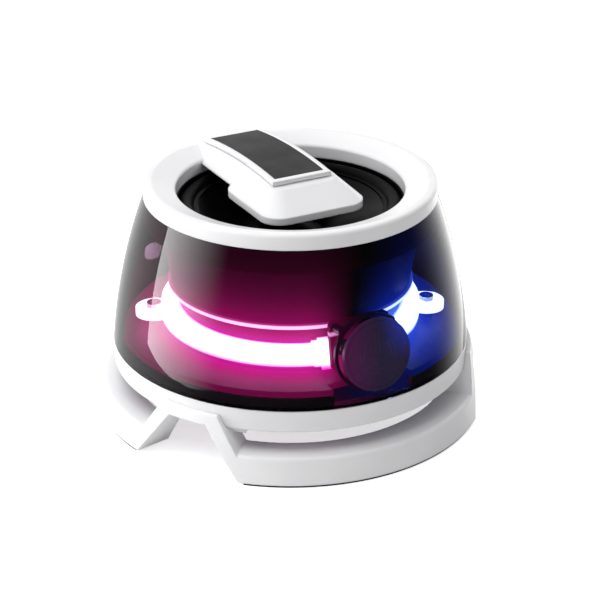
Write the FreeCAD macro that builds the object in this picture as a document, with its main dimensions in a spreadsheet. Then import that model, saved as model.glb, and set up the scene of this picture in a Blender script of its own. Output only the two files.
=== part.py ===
import FreeCAD, Part
import math
import os
import re

import Sketcher

vec = FreeCAD.Vector
doc = FreeCAD.newDocument("light_sound_unit")
sheet = doc.addObject("Spreadsheet::Sheet", "sizes")

# Driving dimensions in millimetres and degrees. Angles about +Z are counted from the front (-Y) towards +X.
SIZES = {
    # body envelope
    "base_radius": 45.4,
    "crown_radius": 36.75,
    "shell_height": 37.8,
    "shell_bulge": 1.3,
    "shell_wall": 2.0,
    "under_gap": 12.7,
    "ring_height": 5.8,
    "ring_wall": 2.2,
    "lip_height": 2.5,
    "lip_wall": 1.8,
    "fit_gap": 0.2,
    "touch_gap": 0.02,
    "cut_past": 1.0,
    # stand
    "stand_flare": 4.5,
    "collar_wall": 1.2,
    "collar_height": 16.0,
    "foot_depth": 9.8,
    "foot_clear": 0.5,
    "ledge_height": 7.3,
    "slot_half_low": 43.5,
    "slot_half_high": 51.0,
    "slot_reach": 5.0,
    "notch_half_low": 17.9,
    "notch_half_high": 6.5,
    "notch_top": 13.2,
    "shelf_depth": 9.6,
    "shelf_bottom": 11.2,
    "shelf_inset": 1.5,
    "pad_thickness": 1.1,
    "pad_width": 5.4,
    "pad_half_angle": 41.2,
    "pad_inset": 0.55,
    "rim_round": 0.9,
    "edge_round": 0.4,
    # fasteners
    "screw_radius": 1.0,
    "screw_head_radius": 1.85,
    "screw_head_height": 1.2,
    "screw_slot": 0.45,
    "screw_slot_length": 2.3,
    "screw_grip": 5.0,
    "boss_wall": 1.2,
    "cover_screw_inset": 2.2,
    "cover_screw_angle": 30.0,
    "chamber_screw_inset": 4.0,
    # base
    "cover_thickness": 1.5,
    "deck_thickness": 1.5,
    "cable_hole_radius": 6.0,
    "ring_round_top": 0.35,
    "ring_round_bottom": 0.5,
    "board_screw_angle": 33.0,
    "board_screw_inset": 4.0,
    "bezel_clear_side": 1.0,
    "bezel_clear_back": 2.5,
    # light guides
    "guide_inner": 28.2,
    "guide_outer": 32.9,
    "guide_height": 4.0,
    "guide_lift": 0.8,
    "guide_start_left": -9.5,
    "guide_start_right": 12.0,
    "guide_sweep": 152.0,
    "guide_block_grow": 0.6,
    "guide_block_angle": 5.5,
    "guide_step_angle": 3.0,
    "ear_radius": 4.7,
    "ear_thickness": 2.0,
    "ear_drop": 1.3,
    "ear_post_wall": 0.7,
    "ear_near_left": 101.5,
    "ear_near_right": 50.0,
    "ear_far": 146.0,
    "led_board_width": 3.2,
    "led_board_thickness": 0.9,
    "led_size": 2.8,
    "led_height": 0.5,
    "led_inset": 0.6,
    # sound chamber
    "liner_height": 4.8,
    "flange_thickness": 1.5,
    "chamber_margin": 3.9,
    "chamber_wall": 1.6,
    "chamber_taper": 2.1,
    "chamber_bead": 0.7,
    "bead_height": 1.1,
    "blind_skin": 0.3,
    "neck_step": 2.4,
    "neck_height": 5.2,
    "chamber_depth": 23.5,
    # driver
    "driver_flange_margin": 1.7,
    "driver_flange": 1.0,
    "driver_head_share": 1.3,
    "driver_shank_share": 0.6,
    "driver_head_height": 0.84,
    "gasket_height": 1.8,
    "gasket_outside": 1.2,
    "gasket_inside": 0.4,
    "surround_width": 3.8,
    "surround_skin": 0.4,
    "surround_glue": 1.4,
    "surround_lap": 0.2,
    "cone_depth": 8.0,
    "cone_skin": 0.5,
    "coil_radius": 6.6,
    "former_skin": 0.25,
    "coil_winding": 0.3,
    "coil_gap": 0.25,
    "coil_overhang": 2.2,
    "winding_half": 1.4,
    "cap_radius": 8.4,
    "cap_rise": 2.6,
    "cap_skin": 0.4,
    "cap_foot": 1.1,
    "cap_lift": 0.05,
    "basket_depth": 11.5,
    "basket_skin": 1.0,
    "basket_floor_radius": 14.2,
    "basket_gap": 0.3,
    "window_margin": 1.6,
    "window_drop": 1.4,
    "spider_radius": 16.2,
    "spider_skin": 0.4,
    "spider_wave": 0.5,
    "spider_ledge": 0.9,
    "plate_radius": 14.5,
    "plate_thickness": 1.7,
    "magnet_radius": 15.0,
    "magnet_thickness": 4.4,
    "yoke_thickness": 2.0,
    "yoke_inset": 1.0,
    "magnet_bore_gap": 0.8,
    "pole_gap": 0.3,
    # crown ring and bridge
    "opening_radius": 28.6,
    "opening_wall": 3.2,
    "crown_height": 3.9,
    "crown_edge": 0.9,
    "crest_width": 1.3,
    "opening_lead": 0.5,
    "opening_round": 1.0,
    "bridge_half_top": 8.1,
    "bridge_flare": 0.81,
    "bridge_front": 6.3,
    "bridge_back": 32.8,
    "nose_front": 16.0,
    "nose_back": 11.0,
    "nose_corner": 5.5,
    "nose_lip": 1.8,
    "nose_half_width": 14.0,
    "nose_drop": 1.3,
    "nose_top_inset": 0.8,
    "nose_top_corner": 1.6,
    "arm_overlap": 4.0,
    "arm_drop": 0.8,
    "arch_radius": 160.0,
    "arch_centre": 8.0,
    "frame_top": 6.8,
    "frame_thickness": 1.0,
    "groove_height": 0.3,
    "groove_depth": 0.6,
    "inlay_half_width": 6.8,
    "inlay_front": 4.7,
    "inlay_back": 31.2,
    "inlay_thickness": 0.7,
    # power button, measured along its own axis from the shell's outer surface
    "button_clear": 2.4,
    "button_radius": 7.85,
    "button_gap": 0.15,
    "button_proud": 0.5,
    "button_thickness": 2.1,
    "button_travel": 0.3,
    "button_flange": 0.6,
    "button_flange_depth": 0.8,
    "bezel_wall": 1.0,
    "bezel_proud": 0.3,
    "bezel_skirt": 3.5,
    "bezel_flange": 0.5,
    "bezel_flange_depth": 1.0,
    "stem_radius": 2.0,
    "stem_length": 3.0,
    "plunger_radius": 1.6,
    "plunger_height": 1.0,
    "switch_width": 6.0,
    "switch_height": 2.5,
    "board_drop": 4.6,
    "board_thickness": 1.0,
    "post_aside": 6.5,
    "post_up": 6.2,
    "post_margin": 1.6,
    "post_radius": 1.1,
    "post_screw_radius": 0.5,
    "post_screw_head": 0.6,
    "post_screw_reach": 1.6,
    "switch_corner": 0.6,
    "board_corner": 1.5,
    "icon_depth": 0.25,
    "icon_radius": 4.2,
    "icon_stroke": 1.0,
    "icon_bar_length": 5.0,
    "icon_bar_start": 0.3,
    "icon_gap": 0.02,
    # electronics
    "port_angle": 120.0,
    "port_width": 8.94,
    "port_height": 3.2,
    "port_length": 7.4,
    "port_gap": 0.25,
    "port_sink": 0.3,
    "port_wall": 0.3,
    "tongue_inset": 1.1,
    "tongue_half": 0.35,
    "tongue_back": 0.5,
    "tongue_tip": 0.7,
    "main_board_width": 28.0,
    "main_board_length": 23.0,
    "main_board_thickness": 1.2,
    "main_board_lift": 1.2,
    "chip_size": 9.0,
    "chip_height": 1.4,
    "chip_aside": 6.2,
    "chip_place": 0.66,
    "battery_length": 34.0,
    "battery_width": 22.0,
    "battery_height": 4.6,
    "battery_radius": 16.0,
    "strap_width": 8.0,
    "strap_skin": 0.8,
    "strap_gap": 0.15,
}

for row, (alias, size) in enumerate(SIZES.items(), start=1):
    sheet.set(f"A{row}", alias)
    sheet.set(f"B{row}", str(size))
    sheet.setAlias(f"B{row}", alias)
doc.recompute()


# ---------------------------------------------------------------- formulas

def linked(text):
    """Turn a formula written with bare size names into one that reads the sheet."""
    return re.sub(r"[a-z_]+", lambda word: "sizes." + word[0] if word[0] in SIZES else word[0], str(text))


def value(text):
    return float(sheet.evalExpression(linked(text)))


def bind(thing, name, text):
    thing.setExpression(name, linked(text))


def total(*terms):
    return "(" + " + ".join(str(term) for term in terms) + ")"


def minus(first, *terms):
    return "(" + " - ".join([str(first)] + [f"({term})" for term in terms]) + ")"


def polar(radius, angle):
    """Plan position of a point at a radius and an angle from the front."""
    return f"({radius}) * sin({angle})", f"-({radius}) * cos({angle})"


ring_top = total("under_gap", "ring_height")
deck_bottom = total(ring_top, "lip_height")
deck_top = total(deck_bottom, "deck_thickness")
shell_top = total(ring_top, "shell_height")
cover_top = total("under_gap", "cover_thickness")
flange_top = minus(shell_top, "liner_height")
flange_bottom = minus(flange_top, "flange_thickness")
chamber_bottom = minus(flange_top, "chamber_depth")
neck_top = total(chamber_bottom, "neck_height")
rim_level = total(flange_top, "driver_flange", "surround_skin")
gasket_top = total(rim_level, "gasket_height")
opening_top = total(gasket_top, "opening_wall")
crown_top = total(shell_top, "crown_height")
frame_level = total(shell_top, "frame_top")
guide_bottom = total(deck_top, "led_board_thickness", "guide_lift")
guide_top = total(guide_bottom, "guide_height")
guide_radius = "(guide_inner + guide_outer) / 2"
led_board_top = total(deck_top, "led_board_thickness")
boss_radius = total("screw_radius", "boss_wall")
ear_top = minus(guide_top, "ear_drop")
ear_screw_radius = total("guide_outer", "screw_radius", "ear_post_wall", "fit_gap")
bezel_outer = total("button_radius", "button_gap", "bezel_wall", "bezel_flange")
button_rise = total(bezel_outer, "button_clear")
button_level = total(ring_top, button_rise)


def shell_radius(level):
    """Outer radius of the shell at a level: a straight taper with a shallow bulge."""
    part = f"(({level}) - {ring_top}) / shell_height"
    return f"(base_radius - (base_radius - crown_radius) * {part} + 4 * shell_bulge * {part} * (1 - {part}))"


def shell_inner(level):
    return minus(shell_radius(level), "shell_wall")


lip_outer = minus(shell_inner(deck_bottom), "fit_gap")
lip_inner = minus(lip_outer, "lip_wall")
stand_screw_radius = minus(lip_inner, boss_radius, "fit_gap / 4")
cover_screw_radius = minus(lip_inner, boss_radius, "cover_screw_inset")
chamber_radius = total("opening_radius", "chamber_margin")
chamber_foot_radius = minus(chamber_radius, "chamber_taper")
neck_radius = minus(chamber_foot_radius, "neck_step")
chamber_screw_radius = minus(neck_radius, "chamber_screw_inset")
gasket_outer = "(opening_radius + gasket_outside)"
driver_shank = "(screw_radius * driver_shank_share)"
driver_screw_radius = total(gasket_outer, "screw_radius * driver_head_share", "fit_gap")
driver_flange_radius = total(driver_screw_radius, "driver_flange_margin")

shell_chord = "((base_radius - crown_radius) ^ 2 + shell_height ^ 2)"
shell_sagitta = f"(shell_bulge * shell_height / sqrt({shell_chord}))"
shell_arc = f"(({shell_chord} / 4 + {shell_sagitta} ^ 2) / (2 * {shell_sagitta}))"
button_lean = (f"atan((base_radius - crown_radius - 4 * shell_bulge * (1 - 2 * {button_rise} / shell_height))"
               " / shell_height) / 1 deg")


# ---------------------------------------------------------------- drawing helpers

finished = []


def origin_plane(body, role):
    return next(item for item in body.Origin.OriginFeatures if item.Role == role)


def new_body(name):
    body = doc.addObject("PartDesign::Body", name)
    body.Label = name
    finished.append(body)
    return body


def new_sketch(body, role="XY_Plane", level="0"):
    sketch = body.newObject("Sketcher::SketchObject", body.Label + "_sketch")
    sketch.AttachmentSupport = [(origin_plane(body, role), "")]
    sketch.MapMode = "FlatFace"
    bind(sketch, "AttachmentOffset.Base.z", level)
    return sketch


def pin_point(sketch, edge, end, place):
    for kind, text in zip(("DistanceX", "DistanceY"), place):
        index = sketch.addConstraint(Sketcher.Constraint(kind, edge, end, value(text)))
        bind(sketch, f"Constraints[{index}]", text)


def set_radius(sketch, edge, radius):
    index = sketch.addConstraint(Sketcher.Constraint("Radius", edge, value(radius)))
    bind(sketch, f"Constraints[{index}]", radius)


def arc_between(start, stop, radius, turn):
    """Arc shorter than a half circle; turn is 1 for counter-clockwise travel and -1 for clockwise."""
    chord = stop - start
    reach = math.sqrt(max(radius ** 2 - chord.Length ** 2 / 4, 0))
    side = vec(-chord.y, chord.x, 0).normalize() * turn
    centre = (start + stop) / 2 + side * reach
    first, last = (start, stop) if turn > 0 else (stop, start)
    begin = math.atan2(first.y - centre.y, first.x - centre.x)
    end = math.atan2(last.y - centre.y, last.x - centre.x)
    return Part.ArcOfCircle(Part.Circle(centre, vec(0, 0, 1), radius), begin, end)


def add_outline(sketch, corners, bends=None):
    """Closed loop through the corners. bends gives (radius, turn) for the edge that leaves a corner."""
    bends = bends or {}
    points = [vec(value(across), value(along), 0) for across, along in corners]
    edges = []
    for number, start in enumerate(points):
        stop = points[(number + 1) % len(points)]
        if number in bends:
            radius, turn = bends[number]
            edge = sketch.addGeometry(arc_between(start, stop, value(radius), turn))
            edges.append((edge, 1, 2) if turn > 0 else (edge, 2, 1))
        else:
            edge = sketch.addGeometry(Part.LineSegment(start, stop))
            edges.append((edge, 1, 2))
    for number, (edge, head, tail) in enumerate(edges):
        following, next_head, _ = edges[(number + 1) % len(edges)]
        sketch.addConstraint(Sketcher.Constraint("Coincident", edge, tail, following, next_head))
        pin_point(sketch, edge, head, corners[number])
        if number in bends:
            set_radius(sketch, edge, bends[number][0])


def add_circle(sketch, centre, radius):
    middle = vec(value(centre[0]), value(centre[1]), 0)
    edge = sketch.addGeometry(Part.Circle(middle, vec(0, 0, 1), value(radius)))
    pin_point(sketch, edge, 3, centre)
    set_radius(sketch, edge, radius)


def add_sector(sketch, inner, outer, first, last):
    """Part of a ring between two angles from the front."""
    corners = [polar(inner, first), polar(outer, first), polar(outer, last), polar(inner, last)]
    add_outline(sketch, corners, {1: (outer, 1), 3: (inner, -1)})


def add_rectangle(sketch, half_width, front, back):
    add_outline(sketch, [(f"-({half_width})", front), (half_width, front),
                         (half_width, back), (f"-({half_width})", back)])


def add_rounded_rectangle(sketch, half_width, front, back, corner):
    left, right = f"-({half_width})", f"({half_width})"
    low, high = f"({front})", f"({back})"
    corner = f"({corner})"
    corners = [(f"{left} + {corner}", low), (f"{right} - {corner}", low),
               (right, f"{low} + {corner}"), (right, f"{high} - {corner}"),
               (f"{right} - {corner}", high), (f"{left} + {corner}", high),
               (left, f"{high} - {corner}"), (left, f"{low} + {corner}")]
    add_outline(sketch, corners, {edge: (corner, 1) for edge in (1, 3, 5, 7)})


def pad(body, sketch, length, symmetric=False):
    feature = body.newObject("PartDesign::Pad", body.Label + "_pad")
    feature.Profile = sketch
    feature.Midplane = symmetric
    bind(feature, "Length", length)
    return feature


def pocket(body, sketch, length, upward=False, symmetric=False):
    """Cut below the sketch, or above it; the body's volume has to fall."""
    doc.recompute()
    before = body.Shape.Volume
    feature = body.newObject("PartDesign::Pocket", body.Label + "_pocket")
    feature.Profile = sketch
    feature.Reversed = upward
    feature.Midplane = symmetric
    bind(feature, "Length", length)
    doc.recompute()
    if body.Shape.Volume > before - 1e-3:
        raise RuntimeError(f"a pocket of {body.Label} cuts nothing")
    return feature


def turned(body, corners, bends=None):
    sketch = new_sketch(body, "XZ_Plane")
    add_outline(sketch, corners, bends)
    feature = body.newObject("PartDesign::Revolution", body.Label + "_turned")
    feature.Profile = sketch
    feature.ReferenceAxis = (sketch, ["V_Axis"])
    return feature


def lofted(body, kind, lower, upper):
    feature = body.newObject(kind, body.Label + "_loft")
    feature.Profile = lower
    feature.Sections = [upper]
    feature.Ruled = True
    return feature


def patterned(body, features, count):
    feature = body.newObject("PartDesign::PolarPattern", body.Label + "_pattern")
    feature.Originals = features
    feature.Axis = (origin_plane(body, "Z_Axis"), [""])
    feature.Angle = 360
    feature.Occurrences = count
    body.Tip = feature
    return feature


def circular_edges(shape, radius, level):
    """Names of the edges that lie on a circle about the Z axis."""
    names = []
    for number, edge in enumerate(shape.Edges, start=1):
        points = [edge.valueAt(edge.FirstParameter + share * (edge.LastParameter - edge.FirstParameter))
                  for share in (0.1, 0.5, 0.9)]
        if all(abs(math.hypot(point.x, point.y) - radius) < 0.05 and abs(point.z - level) < 0.05
               for point in points):
            names.append(f"Edge{number}")
    return names


def rounded(body, places, radius):
    """Fillet the circular edges at (radius, level) places."""
    doc.recompute()
    base = body.Tip
    names = []
    for across, level in places:
        names += circular_edges(base.Shape, value(across), value(level))
    if not names:
        raise RuntimeError(f"no edge to round on {body.Label}")
    feature = body.newObject("PartDesign::Fillet", body.Label + "_fillet")
    feature.Base = (base, names)
    bind(feature, "Radius", radius)
    return feature


def drilled(body, places, radius, level, depth, upward=False):
    sketch = new_sketch(body, "XY_Plane", level)
    for place in places:
        add_circle(sketch, place, radius)
    return pocket(body, sketch, depth, upward)


def posts(body, places, radius, level, height):
    sketch = new_sketch(body, "XY_Plane", level)
    for place in places:
        add_circle(sketch, place, radius)
    return pad(body, sketch, height)


def around(radius, angles):
    return [polar(radius, angle) for angle in angles]


def screws(name, places, head_level, length, heads_up=False):
    """A set of equal screws that bear at head_level; the shank leaves it downwards if heads_up."""
    body = new_body(name)
    head_base = head_level if heads_up else minus(head_level, "screw_head_height")
    shank_base = minus(head_level, length) if heads_up else head_level
    posts(body, places, "screw_head_radius", head_base, "screw_head_height")
    posts(body, places, "screw_radius", shank_base, length)
    face = total(head_level, "screw_head_height") if heads_up else head_base
    for across, along in (("screw_slot_length", "screw_slot"), ("screw_slot", "screw_slot_length")):
        sketch = new_sketch(body, "XY_Plane", face)
        for x_place, y_place in places:
            corners = [(f"{x_place} {sign_x} {across} / 2", f"{y_place} {sign_y} {along} / 2")
                       for sign_x, sign_y in (("-", "-"), ("+", "-"), ("+", "+"), ("-", "+"))]
            add_outline(sketch, corners)
        pocket(body, sketch, "screw_head_height / 2", upward=not heads_up)
    return body


def box(name, centre, length, width, height, level, turn="0"):
    """Box centred in plan; its length runs along X before it is turned about its centre."""
    block = doc.addObject("Part::Box", name)
    block.Label = name
    bind(block, "Length", length)
    bind(block, "Width", width)
    bind(block, "Height", height)
    x_place, y_place = centre
    bind(block, "Placement.Rotation.Angle", turn)
    bind(block, "Placement.Base.x", f"{x_place} - ({length}) / 2 * cos({turn}) + ({width}) / 2 * sin({turn})")
    bind(block, "Placement.Base.y", f"{y_place} - ({length}) / 2 * sin({turn}) - ({width}) / 2 * cos({turn})")
    bind(block, "Placement.Base.z", level)
    return block


def group(name, members):
    bundle = doc.addObject("Part::Compound", name)
    bundle.Label = name
    bundle.Links = members
    finished.append(bundle)
    return bundle


def on_button_axis(thing, placement="Placement"):
    """Place a body or a sketch so its own +Z is the button's axis, pointing out of the shell."""
    setattr(thing, placement, FreeCAD.Placement(vec(0, 0, 0), FreeCAD.Rotation(vec(1, 0, 0), 1)))
    bind(thing, placement + ".Rotation.Angle", f"90 - {button_lean}")
    bind(thing, placement + ".Base.y", f"-{shell_radius(button_level)}")
    bind(thing, placement + ".Base.z", button_level)


def toward_port(outward, aside):
    """Plan position given as distances along the port's direction and across it."""
    return (f"({outward}) * sin(port_angle) + ({aside}) * cos(port_angle)",
            f"-({outward}) * cos(port_angle) + ({aside}) * sin(port_angle)")


# ---------------------------------------------------------------- stand

FEET = {"front": 0, "right": 120, "left": -120}
NOTCHES = (60, 180, 300)


def make_stand():
    body = new_body("stand")
    foot_outer = total("base_radius", "stand_flare")
    foot_inner = minus(foot_outer, "foot_depth")
    collar_outer = total("base_radius", "collar_wall")
    collar_inner = total("base_radius", "touch_gap")
    turned(body, [(foot_inner, "foot_clear"), (foot_outer, "foot_clear"),
                  (collar_outer, "collar_height"), (collar_inner, "collar_height"),
                  (collar_inner, "under_gap"), (foot_inner, "under_gap")])
    doc.recompute()
    past, before = total(foot_outer, "slot_reach"), minus(foot_inner, "slot_reach")
    low = new_sketch(body, "XY_Plane", "ledge_height")
    add_sector(low, before, past, "-slot_half_low", "slot_half_low")
    high = new_sketch(body, "XY_Plane", "collar_height + cut_past")
    add_sector(high, before, past, "-slot_half_high", "slot_half_high")
    slot = lofted(body, "PartDesign::SubtractiveLoft", low, high)
    low = new_sketch(body, "XY_Plane", "0")
    add_sector(low, before, past, "60 - notch_half_low", "60 + notch_half_low")
    high = new_sketch(body, "XY_Plane", "notch_top")
    add_sector(high, before, past, "60 - notch_half_high", "60 + notch_half_high")
    notch = lofted(body, "PartDesign::SubtractiveLoft", low, high)
    patterned(body, [slot, notch], 3)
    lean = f"(({foot_outer} - {collar_outer}) / (collar_height - foot_clear))"
    rim = f"({foot_outer} - {lean} * (ledge_height - foot_clear))"
    rounded(body, [(rim, "ledge_height")], "rim_round")
    rounded(body, [(foot_inner, "ledge_height"), (foot_outer, "foot_clear"),
                   (collar_outer, "collar_height")], "edge_round")
    shelf = new_sketch(body, "XY_Plane", "shelf_bottom")
    shelf_inner = minus("base_radius", "shelf_depth")
    for angle in NOTCHES:
        add_sector(shelf, shelf_inner, minus("base_radius", "shelf_inset"),
                   f"{angle} - notch_half_low", f"{angle} + notch_half_low")
    pad(body, shelf, minus("under_gap", "shelf_bottom"))
    drilled(body, around(stand_screw_radius, NOTCHES), total("screw_radius", "fit_gap"),
            "shelf_bottom", "under_gap - shelf_bottom + cut_past", upward=True)
    pads = new_sketch(body, "XY_Plane", "foot_clear")
    for angle in FEET.values():
        add_pad_sector(pads, angle, "fit_gap / 2")
    pocket(body, pads, minus("pad_thickness", "foot_clear"), upward=True)


def add_pad_sector(sketch, angle, grow):
    outer = f"base_radius + stand_flare - pad_inset + {grow}"
    inner = f"base_radius + stand_flare - pad_inset - pad_width - {grow}"
    half = f"(pad_half_angle + {grow} * 2)"
    add_sector(sketch, inner, outer, f"{angle} - {half}", f"{angle} + {half}")


def make_foot_pads():
    for side, angle in FEET.items():
        body = new_body(f"foot_pad_{side}")
        sketch = new_sketch(body)
        add_pad_sector(sketch, angle, "0")
        pad(body, sketch, "pad_thickness")


# ---------------------------------------------------------------- base

COVER_SCREWS = tuple(f"cover_screw_angle + {turn}" for turn in (0, 120, 240))


def port_reach():
    """Radius of the socket's inner end."""
    return minus("base_radius", "port_sink", "port_length")


def board_post_places():
    """The main board's two screws, near its inner corners."""
    radius = total(minus(port_reach(), "main_board_length"), "board_screw_inset")
    return [polar(radius, f"port_angle + {side} * board_screw_angle") for side in (-1, 1)]


def clear_for_bezel(body, level, height):
    """Notch at the front that leaves room for the button's bezel."""
    sketch = new_sketch(body, "XY_Plane", level)
    add_rectangle(sketch, total(bezel_outer, "bezel_clear_side"), "-base_radius",
                  minus("bezel_skirt + bezel_flange_depth + bezel_clear_back", "base_radius"))
    pocket(body, sketch, height, upward=True)


def make_base_ring():
    body = new_body("base_ring")
    bore = minus("base_radius", "ring_wall")
    turned(body, [(bore, "under_gap"), ("base_radius", "under_gap"), ("base_radius", ring_top),
                  (lip_outer, ring_top), (lip_outer, deck_bottom), (lip_inner, deck_bottom),
                  (lip_inner, cover_top), (bore, cover_top)])
    rounded(body, [("base_radius", ring_top)], "ring_round_top")
    rounded(body, [("base_radius", "under_gap")], "ring_round_bottom")
    sketch = new_sketch(body, "XZ_Plane")
    sketch.AttachmentOffset = FreeCAD.Placement(vec(0, 0, 0), FreeCAD.Rotation(vec(0, 1, 0), 1))
    bind(sketch, "AttachmentOffset.Rotation.Angle", "port_angle")
    middle = total(cover_top, "main_board_lift", "main_board_thickness / 2")
    half = "(port_height / 2 + port_gap)"
    add_rounded_rectangle(sketch, "port_width / 2 + port_gap", f"{middle} - {half}", f"{middle} + {half}",
                          "port_height / 2")
    pocket(body, sketch, "base_radius + cut_past", upward=True)
    clear_for_bezel(body, ring_top, "lip_height + cut_past")


def make_bottom_cover():
    body = new_body("bottom_cover")
    sketch = new_sketch(body, "XY_Plane", "under_gap")
    add_circle(sketch, ("0", "0"), minus("base_radius", "ring_wall", "touch_gap"))
    pad(body, sketch, "cover_thickness")
    stand_places = around(stand_screw_radius, NOTCHES)
    posts(body, stand_places, boss_radius, cover_top, "ring_height - cover_thickness")
    posts(body, board_post_places(), "boss_wall + screw_radius", cover_top, "main_board_lift")
    drilled(body, stand_places, total("screw_radius", "touch_gap"), "under_gap", "ring_height", upward=True)
    drilled(body, around(cover_screw_radius, COVER_SCREWS), total("screw_radius", "fit_gap"),
            "under_gap", "cover_thickness + cut_past", upward=True)
    drilled(body, board_post_places(), total("screw_radius", "touch_gap"), cover_top,
            "cover_thickness + main_board_lift", upward=True)


def make_deck():
    body = new_body("deck_plate")
    sketch = new_sketch(body, "XY_Plane", deck_bottom)
    add_circle(sketch, ("0", "0"), minus(shell_inner(deck_top), "fit_gap * 2"))
    pad(body, sketch, "deck_thickness")
    under = minus(deck_bottom, cover_top)
    cover_places = around(cover_screw_radius, COVER_SCREWS)
    posts(body, cover_places, boss_radius, cover_top, under)
    ear_places = around(ear_screw_radius, EARS["left"] + EARS["right"])
    posts(body, ear_places, "screw_radius + ear_post_wall", deck_top,
          minus(ear_top, "ear_thickness", deck_top))
    drilled(body, cover_places, total("screw_radius", "touch_gap"), cover_top, minus(under, "cut_past"),
            upward=True)
    drilled(body, ear_places, total("screw_radius", "touch_gap"), minus(ear_top, "ear_thickness"),
            minus(ear_top, "ear_thickness", deck_bottom))
    drilled(body, around(chamber_screw_radius, FEET.values()), total("screw_radius", "fit_gap"),
            deck_bottom, "deck_thickness + cut_past", upward=True)
    drilled(body, [("0", "0")], "cable_hole_radius", deck_bottom, "deck_thickness + cut_past", upward=True)
    clear_for_bezel(body, deck_bottom, "deck_thickness + cut_past")


# ---------------------------------------------------------------- light guides

GUIDES = {"left": ("guide_start_left", -1), "right": ("guide_start_right", 1)}
EARS = {"left": ("guide_start_left - ear_near_left", "guide_start_left - ear_far"),
        "right": ("guide_start_right + ear_near_right", "guide_start_right + ear_far")}
LED_COUNT = 6


def make_light_guide(side):
    start, turn = GUIDES[side]
    stop = f"{start} + {turn} * guide_sweep"
    body = new_body(f"light_guide_{side}")
    arc = new_sketch(body, "XY_Plane", guide_bottom)
    first, last = (stop, start) if turn < 0 else (start, stop)
    add_sector(arc, "guide_inner", "guide_outer", first, last)
    pad(body, arc, "guide_height")
    for steps in (1, 2):
        grow = f"(guide_block_grow * {steps})"
        block = new_sketch(body, "XY_Plane", minus(guide_bottom, f"guide_block_grow * {steps - 1}"))
        block_end = f"{start} + {turn} * (guide_block_angle + guide_step_angle * {2 - steps})"
        first, last = (block_end, start) if turn < 0 else (start, block_end)
        add_sector(block, "guide_inner", total("guide_outer", grow), first, last)
        pad(body, block, total("guide_height", grow, f"guide_block_grow * {steps - 1}"))
    ears = around(ear_screw_radius, EARS[side])
    posts(body, ears, "ear_radius", minus(ear_top, "ear_thickness"), "ear_thickness")
    drilled(body, ears, total("screw_radius", "fit_gap / 2"), minus(ear_top, "ear_thickness"),
            "ear_thickness + cut_past", upward=True)


def make_led_board(side):
    start, turn = GUIDES[side]
    body = new_body(f"led_board_{side}")
    sketch = new_sketch(body, "XY_Plane", deck_top)
    stop = f"{start} + {turn} * guide_sweep"
    first, last = (stop, start) if turn < 0 else (start, stop)
    middle = f"({guide_radius} - led_inset)"
    add_sector(sketch, f"{middle} - led_board_width / 2", f"{middle} + led_board_width / 2", first, last)
    pad(body, sketch, "led_board_thickness")
    lights = []
    for number in range(LED_COUNT):
        angle = f"({start} + {turn} * guide_sweep * {(number + 0.5) / LED_COUNT})"
        lights.append(box(f"led_{side}_{number}", polar(middle, angle), "led_size", "led_size",
                          "led_height", led_board_top, angle))
    group(f"leds_{side}", lights)


# ---------------------------------------------------------------- shell and sound chamber

def make_shell():
    body = new_body("smoked_shell")
    base_inner = minus("base_radius", "shell_wall")
    crown_inner = minus("crown_radius", "shell_wall")
    turned(body, [(base_inner, ring_top), ("base_radius", ring_top), ("crown_radius", shell_top),
                  (crown_inner, shell_top)], {1: (shell_arc, 1), 3: (shell_arc, -1)})
    sketch = new_sketch(body)
    on_button_axis(sketch, "AttachmentOffset")
    add_circle(sketch, ("0", "0"), "button_radius + button_gap + bezel_wall + touch_gap")
    pocket(body, sketch, "button_radius * 2", symmetric=True)


def make_liner():
    body = new_body("chamber_liner")
    outer_low = minus(shell_inner(flange_top), "fit_gap * 1.5")
    outer_high = minus(shell_inner(shell_top), "fit_gap * 1.5")
    inner = total(driver_flange_radius, "touch_gap * 5")
    turned(body, [(inner, flange_top), (outer_low, flange_top), (outer_high, shell_top), (inner, shell_top)])


def make_chamber():
    body = new_body("speaker_chamber")
    flange_radius = minus(shell_inner(flange_top), "fit_gap * 1.5")
    floor = "chamber_wall"
    corners = [("0", chamber_bottom), (neck_radius, chamber_bottom), (neck_radius, neck_top),
               (total(chamber_foot_radius, "chamber_bead"), neck_top),
               (total(chamber_foot_radius, "chamber_bead"), total(neck_top, "bead_height")),
               (chamber_foot_radius, total(neck_top, "bead_height")),
               (chamber_radius, flange_bottom), (flange_radius, flange_bottom),
               (flange_radius, flange_top), (minus(chamber_radius, "chamber_wall"), flange_top),
               (minus(chamber_foot_radius, "chamber_wall"), total(neck_top, floor)),
               (minus(neck_radius, "chamber_wall"), total(neck_top, floor)),
               (minus(neck_radius, "chamber_wall"), total(chamber_bottom, floor)),
               ("0", total(chamber_bottom, floor))]
    turned(body, corners)
    doc.recompute()
    places = around(chamber_screw_radius, FEET.values())
    posts(body, places, boss_radius, deck_top, minus(chamber_bottom, deck_top))
    drilled(body, places, total("screw_radius", "touch_gap"), deck_top,
            minus(chamber_bottom, deck_top, "blind_skin"), upward=True)
    drilled(body, around(driver_screw_radius, DRIVER_SCREWS), total(driver_shank, "touch_gap"), flange_top,
            "flange_thickness - blind_skin")


# ---------------------------------------------------------------- driver

DRIVER_SCREWS = (45, 135, 225, 315)
gasket_inner = "(opening_radius - gasket_inside)"
roll_outer = gasket_inner
roll_inner = f"({gasket_inner} - surround_width)"
cone_rim = f"({roll_inner} - surround_glue)"
cone_base = "(coil_radius + former_skin)"
basket_floor = minus(flange_top, "basket_depth")
plate_bottom = minus(basket_floor, "plate_thickness")
magnet_bottom = minus(plate_bottom, "magnet_thickness")
coil_bore = "(coil_radius + former_skin + coil_winding + coil_gap)"


def cone_level(radius):
    """Top surface of the straight cone at a radius."""
    return f"({rim_level} - cone_depth * ({cone_rim} - ({radius})) / ({cone_rim} - {cone_base}))"


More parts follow.
